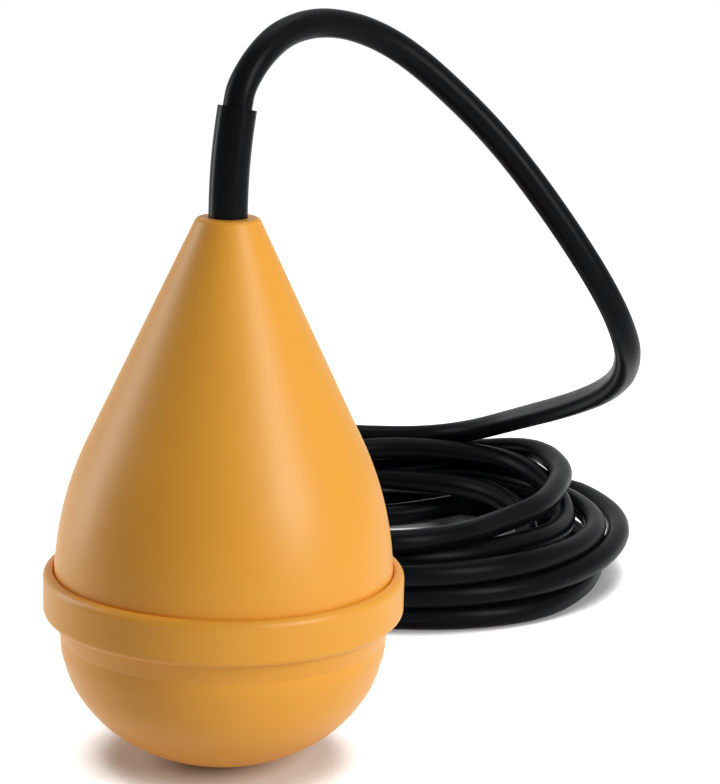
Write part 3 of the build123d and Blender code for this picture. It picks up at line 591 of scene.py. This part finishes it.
@dataclass(frozen=True)
class CableCord:
    """The rubber cable: its arch from the sleeve, its loose coil and its tail, as one line.

    Attributes:
        diameter: Thickness of the sheath in metres.
        length: Its length from the sleeve's mouth to the stripped end in metres.
        sleeve_mouth: Where it leaves the bend sleeve, in mm, as are the points that follow.
        inside_sleeve: The line's points inside the sleeve.
        arch: Its points from the sleeve to the coil's rear.
        coil_centre: The point on the floor that the turns go round.
        coil_start: Where the coil's part of the line starts, in turns from the rear by the left.
        coil_end: Where it ends.
        points_per_turn: The line's points in each turn.
        turns: The turns from the top one down.
        crossings: Turn count, reach and height where strands cross between those places.
        tail: The line's points from the coil to the stripped end.
        line_order: Order of the NURBS line.
        line_steps: Steps between two of its points.
        round_steps: How finely its section is rounded, 0 being a square.
    """

    diameter: float = 8.2 * MM
    length: float = 3.18
    sleeve_mouth: Point = (2.126, 1.784, 185.82)
    inside_sleeve: tuple[Point, ...] = ((1.05, 0.87, 178.5), (2.1, 1.77, 185.7))
    arch: tuple[Point, ...] = (
        (3.0, 2.5, 191.7),
        (7.8, 8.0, 199.8),
        (14.3, 16.8, 205.6),
        (24.0, 28.0, 207.5),
        (35.2, 38.5, 205.0),
        (47.0, 45.5, 198.8),
        (60.0, 49.5, 188.2),
        (77.0, 52.0, 171.8),
        (95.0, 54.0, 149.0),
        (110.5, 57.5, 126.0),
        (118.2, 67.0, 109.5),
        (120.4, 84.0, 98.5),
        (120.0, 106.0, 88.3),
        (116.8, 130.0, 78.6),
        (110.8, 155.0, 69.2),
        (104.8, 180.0, 60.6),
        (98.2, 205.0, 52.1),
        (91.0, 229.0, 43.6),
        (80.0, 247.5, 35.5),
        (66.0, 257.5, 30.6),
        (49.5, 260.0, 29.2),
    )
    coil_centre: tuple[float, float] = (48.0, 182.0)
    coil_start: float = 0.0625
    coil_end: float = 6.125
    points_per_turn: int = 16
    turns: tuple[Turn, ...] = (
        Turn((78, 76, 68, 67, 68.5, 53, 59, 77.5), (28.8, 29.6, 29.6, 29.8, 30.2, 29.6, 31.8, 32.2)),
        Turn((76, 67.5, 61, 61, 61.5, 58, 63, 67.5), (19.8, 27.8, 21, 22, 22.6, 22.2, 19.8, 28.2)),
        Turn((65.5, 57, 52, 54, 56, 54, 49.5, 56.5), (28, 26, 20, 10, 4.1, 4.1, 13, 18)),
        Turn((61.5, 67, 70, 71, 72, 72, 74, 73), (16.6, 19.6, 21, 20.6, 20.4, 20.4, 19, 19)),
        Turn((70.5, 70, 68, 68, 68.5, 74, 82.5, 90), (13.8, 12.4, 12.6, 12.4, 12.2, 12.8, 16.2, 16)),
        Turn((53, 60, 65, 66, 65, 73.5, 73, 83), (4.1, 4.1, 4.1, 4.1, 4.1, 4.1, 6.6, 4.1)),
        Turn((77, 79), (4.1, 4.1)),
    )
    crossings: tuple[Point, ...] = (
        (0.0625, 79, 30.6),
        (1.0625, 72, 24),
        (1.1875, 61.5, 26.4),
        (3.9375, 72, 19.4),
        (4.9125, 74, 8),
        (4.9625, 62.5, 4.1),
    )
    tail: tuple[Point, ...] = (
        (-17.0, 228.0, 4.3),
        (-28.0, 211.0, 4.3),
        (-35.5, 191.0, 4.3),
        (-38.5, 170.0, 4.3),
        (-38.0, 149.0, 4.3),
        (-35.0, 129.0, 4.3),
        (-31.0, 112.0, 4.3),
        (-31.0, 97.0, 4.3),
    )
    line_order: int = 3
    line_steps: int = 8
    round_steps: int = 6

    def places(self) -> list[Point]:
        """List where the turns lie, from the top one down.

        Returns:
            Turn count from the rear, reach and height at each eighth of a turn and at each crossing.
        """
        sides = [
            (number + eighth / 8, reach, height)
            for number, turn in enumerate(self.turns)
            for eighth, (reach, height) in enumerate(zip(turn.reach, turn.height))
        ]
        return sorted([*sides, *self.crossings])

    def coil_points(self) -> list[Point]:
        """Work out the coil's points, from the top turn at the rear down to the tail.

        Returns:
            Points in mm, with reach and height eased from place to place.
        """
        places = self.places()
        counts = [count for count, _, _ in places]
        # The line cuts inside its points, so they stand out by this much.
        outside = 1 / math.cos(math.pi / self.points_per_turn)
        steps = round((self.coil_end - self.coil_start) * self.points_per_turn)
        points = []
        for step in range(steps + 1):
            count = self.coil_start + step / self.points_per_turn
            index = min(bisect_right(counts, count), len(places) - 1)
            start, reach, height = places[index - 1]
            end, next_reach, next_height = places[index]
            ease = (1 - math.cos(math.pi * (count - start) / (end - start))) / 2
            reach = (reach + (next_reach - reach) * ease) * outside
            angle = count * math.tau
            points.append((
                self.coil_centre[0] - reach * math.sin(angle),
                self.coil_centre[1] + reach * math.cos(angle),
                height + (next_height - height) * ease,
            ))
        return points

    def build(self, materials: Materials) -> bpy.types.Object:
        """Args:
            materials: Where its finish comes from.

        Returns:
            The cable object.
        """
        points = [*self.inside_sleeve, *self.arch, *self.coil_points(), *self.tail]
        curve = bpy.data.curves.new("rubber_cable", "CURVE")
        curve.dimensions = "3D"
        curve.resolution_u = self.line_steps
        curve.render_resolution_u = self.line_steps
        curve.bevel_depth = self.diameter / 2
        curve.bevel_resolution = self.round_steps
        curve.use_fill_caps = True
        line = curve.splines.new("NURBS")
        line.points.add(len(points) - 1)
        for knot, place in zip(line.points, points):
            knot.co = (*(Vector(place) * MM), 1)
        line.order_u = self.line_order
        line.use_endpoint_u = True
        cable = bpy.data.objects.new("rubber_cable", curve)
        bpy.context.scene.collection.objects.link(cable)
        materials.dress(cable, Palette.CABLE)
        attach(cable, FLOAT_BODY)
        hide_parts("free_cable", "cable_coil", "cable_tail")
        CoreEnds.nodes()
        return cable


@dataclass(frozen=True)
class CoreEnds:
    """The three stripped cores and their ferrules at the cable's end."""

    finishes: tuple[tuple[str, Palette], ...] = (
        ("brown", Palette.CORE_BROWN),
        ("black", Palette.CORE_BLACK),
        ("blue", Palette.CORE_BLUE),
    )

    @classmethod
    def nodes(cls) -> list[str]:
        """Names of the model's nodes that lie on the cable's end."""
        return [f"{kind}_{colour}" for colour, _ in cls.finishes for kind in ("end_core", "ferrule")]

    def dress(self, frame: dict, materials: Materials) -> None:
        """Give the cores and ferrules their finishes.

        Args:
            frame: The loaded model.
            materials: Where the finishes come from.
        """
        for colour, finish in self.finishes:
            materials.dress(frame["nodes"][f"end_core_{colour}"], finish)
            materials.dress(frame["nodes"][f"ferrule_{colour}"], Palette.FERRULE)


@dataclass(frozen=True)
class Threads:
    """Screw threads of one size, all wound along one axis.

    Attributes:
        name: Name of the piece.
        places: Where each thread starts on its screw's axis, in mm.
        axis: Direction in which they are wound.
        length: Length of the thread in mm.
        radius: Radius of the thread's root in mm.
        pitch: Rise per turn in mm.
        depth: Height of the ridge in mm.
        finish: The screw's finish.
    """

    name: str
    places: tuple[Point, ...]
    axis: Point
    length: float
    radius: float
    pitch: float
    depth: float
    finish: Palette

    def sizes(self, materials: Materials) -> dict[str, object]:
        """List the values of the tree's inputs.

        Args:
            materials: Where the finish comes from.

        Returns:
            Each input's value by its name.
        """
        return {
            "Axis": self.axis,
            "Length": self.length * MM,
            "Root Radius": self.radius * MM,
            "Turns": self.length / self.pitch,
            "Ridge": self.depth * MM,
            "Seed": THREAD_SEED,
            "Finish": materials.get(self.finish),
        }

    def build(self, tree: bpy.types.NodeTree, materials: Materials) -> bpy.types.Object:
        """Wind the threads and turn them into a plain mesh.

        Args:
            tree: The tree that winds them.
            materials: Where the finish comes from.

        Returns:
            The piece, riding on the float.
        """
        mesh = bpy.data.meshes.new(self.name)
        mesh.from_pydata([tuple(Vector(place) * MM) for place in self.places], [], [])
        piece = bpy.data.objects.new(self.name, mesh)
        bpy.context.scene.collection.objects.link(piece)
        modifier = piece.modifiers.new(self.name, "NODES")
        modifier.node_group = tree
        sizes = self.sizes(materials)
        for item in tree.interface.items_tree:
            if item.in_out == "INPUT" and item.name in sizes:
                modifier[item.identifier] = sizes[item.name]
        wound = piece.evaluated_get(bpy.context.evaluated_depsgraph_get())
        plain = bpy.data.meshes.new_from_object(wound)
        piece.modifiers.remove(modifier)
        piece.data = plain
        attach(piece, FLOAT_BODY)
        return piece


def thread_tree() -> bpy.types.NodeTree:
    """Make the tree that winds a ridge along each screw, each starting at its own angle.

    Returns:
        The tree, with its sizes as named inputs.
    """
    tree = bpy.data.node_groups.new("wound_threads", "GeometryNodeTree")
    for name, kind in (
        ("Places", "Geometry"), ("Axis", "Vector"), ("Length", "Float"), ("Root Radius", "Float"),
        ("Turns", "Float"), ("Ridge", "Float"), ("Seed", "Int"), ("Finish", "Material"),
    ):
        tree.interface.new_socket(name, in_out="INPUT", socket_type=f"NodeSocket{kind}")
    tree.interface.new_socket("Threads", in_out="OUTPUT", socket_type="NodeSocketGeometry")
    given = add_node(tree, "NodeGroupInput").outputs
    helix = add_node(
        tree, "GeometryNodeCurveSpiral", None,
        {"Resolution": THREAD_STEPS, "Rotations": given["Turns"], "Start Radius": given["Root Radius"],
         "End Radius": given["Root Radius"], "Height": given["Length"]},
    ).outputs["Curve"]
    upright = add_node(
        tree, "GeometryNodeSetCurveNormal", {"mode": "Z_UP"}, {"Curve": helix}
    ).outputs["Curve"]
    ridge = add_node(
        tree, "GeometryNodeCurvePrimitiveCircle", None,
        {"Resolution": RIDGE_SIDES, "Radius": given["Ridge"]},
    ).outputs["Curve"]
    thread = add_node(
        tree, "GeometryNodeCurveToMesh", None, {"Curve": upright, "Profile Curve": ridge, "Fill Caps": True}
    ).outputs["Mesh"]
    along = add_node(tree, "FunctionNodeAlignRotationToVector", {"axis": "Z"}, {"Vector": given["Axis"]})
    start = add_node(
        tree, "FunctionNodeRandomValue", {"data_type": "FLOAT"},
        {RANDOM_LEAST: 0.0, RANDOM_MOST: math.tau, "Seed": given["Seed"]},
    )
    spin = add_node(
        tree, "FunctionNodeAxisAngleToRotation", None, {"Axis": UP, "Angle": start.outputs[RANDOM_NUMBER]}
    )
    turned = add_node(
        tree, "FunctionNodeRotateRotation", {"rotation_space": "LOCAL"},
        {"Rotation": along.outputs["Rotation"], "Rotate By": spin.outputs["Rotation"]},
    )
    placed = add_node(
        tree, "GeometryNodeInstanceOnPoints", None,
        {"Points": given["Places"], "Instance": thread, "Rotation": turned.outputs["Rotation"]},
    )
    real = add_node(tree, "GeometryNodeRealizeInstances", None, {"Geometry": placed.outputs["Instances"]})
    dressed = add_node(
        tree, "GeometryNodeSetMaterial", None,
        {"Geometry": real.outputs["Geometry"], "Material": given["Finish"]},
    )
    add_node(tree, "NodeGroupOutput", None, {"Threads": dressed.outputs["Geometry"]})
    return tree


SCREW_THREADS = (
    Threads(
        "carrier_screw_threads", places=((0.0, 36.0, 27.6), (-31.18, -18.0, 27.6), (31.18, -18.0, 27.6)),
        axis=UP, length=8.0, radius=1.42, pitch=1.3, depth=0.34, finish=Palette.SCREW,
    ),
    Threads(
        "switch_screw_threads", places=((11.1, 5.4, 65.46), (-11.1, 5.4, 75.76)),
        axis=BACKWARD, length=2.5, radius=1.42, pitch=0.5, depth=0.17, finish=Palette.SCREW,
    ),
    Threads(
        "clamp_screw_threads", places=((-12.0, 0.8, 107.0), (12.0, 0.8, 107.0)),
        axis=BACKWARD, length=4.0, radius=1.42, pitch=0.5, depth=0.17, finish=Palette.SCREW,
    ),
    Threads(
        "gland_thread", places=((0.0, 0.0, 117.7),),
        axis=UP, length=7.0, radius=8.9, pitch=1.5, depth=0.5, finish=Palette.GLAND,
    ),
)


@dataclass(frozen=True)
class FloatHousing:
    """The float's two mouldings, its sleeve and what grips the cable in its neck."""

    finishes: tuple[tuple[str, Palette], ...] = (
        ("upper_shell", Palette.FLOAT),
        ("lower_shell", Palette.FLOAT),
        ("seam_seal", Palette.SEAL),
        ("bend_sleeve", Palette.SLEEVE),
        ("neck_cable", Palette.CABLE),
        ("seal_bush", Palette.SEAL),
        ("thrust_washer", Palette.SCREW),
        ("gland_screw", Palette.GLAND),
        ("clamp_half_front", Palette.GLAND),
        ("clamp_half_back", Palette.GLAND),
        ("clamp_screws", Palette.SCREW),
    )

    def dress(self, frame: dict, materials: Materials) -> None:
        """Give the housing's nodes their finishes.

        Args:
            frame: The loaded model.
            materials: Where the finishes come from.
        """
        materials.dress_nodes(frame, self.finishes)


@dataclass(frozen=True)
class Mechanism:
    """The ballast, the ball and its tube, and the microswitch that the ball works."""

    finishes: tuple[tuple[str, Palette], ...] = (
        ("ballast_weight", Palette.BALLAST),
        ("guide_tube", Palette.CARRIER),
        ("end_buffer", Palette.SEAL),
        ("steel_ball", Palette.BALL),
        ("switch_carrier", Palette.CARRIER),
        ("carrier_screws", Palette.SCREW),
        ("microswitch_base", Palette.SWITCH),
        ("microswitch_cover", Palette.SWITCH),
        ("switch_plunger", Palette.PLUNGER),
        ("switch_lever", Palette.LEVER),
        ("lever_pin", Palette.SCREW),
        ("switch_screws", Palette.SCREW),
        ("inner_core_common", Palette.CORE_BLACK),
        ("inner_core_closed", Palette.CORE_BROWN),
        ("inner_core_open", Palette.CORE_BLUE),
    )
    contacts: tuple[str, ...] = ("common", "closed", "open")

    def dress(self, frame: dict, materials: Materials) -> None:
        """Give the mechanism's nodes their finishes.

        Args:
            frame: The loaded model.
            materials: Where the finishes come from.
        """
        materials.dress_nodes(frame, self.finishes)
        for contact in self.contacts:
            materials.dress(frame["nodes"][f"terminal_{contact}"], Palette.TERMINAL)
            materials.dress(frame["nodes"][f"receptacle_{contact}"], Palette.TERMINAL)


def main() -> None:
    """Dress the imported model, make the cable and the threads, and light the scene."""
    logging.basicConfig(level=logging.INFO, format="%(name)s: %(message)s")
    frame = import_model()
    materials = Materials()
    CameraRig().build()
    cable = CableCord().build(materials)
    LOG.info("%s: one line of %.2f m", cable.name, CableCord.length)
    for assembly in (FloatHousing(), Mechanism(), CoreEnds()):
        assembly.dress(frame, materials)
        LOG.info("%s: dressed", type(assembly).__name__)
    tree = thread_tree()
    for threads in SCREW_THREADS:
        piece = threads.build(tree, materials)
        LOG.info("%s: %d wound, %d faces", piece.name, len(threads.places), len(piece.data.polygons))
    Studio().build()


if __name__ == "__main__":
    main()
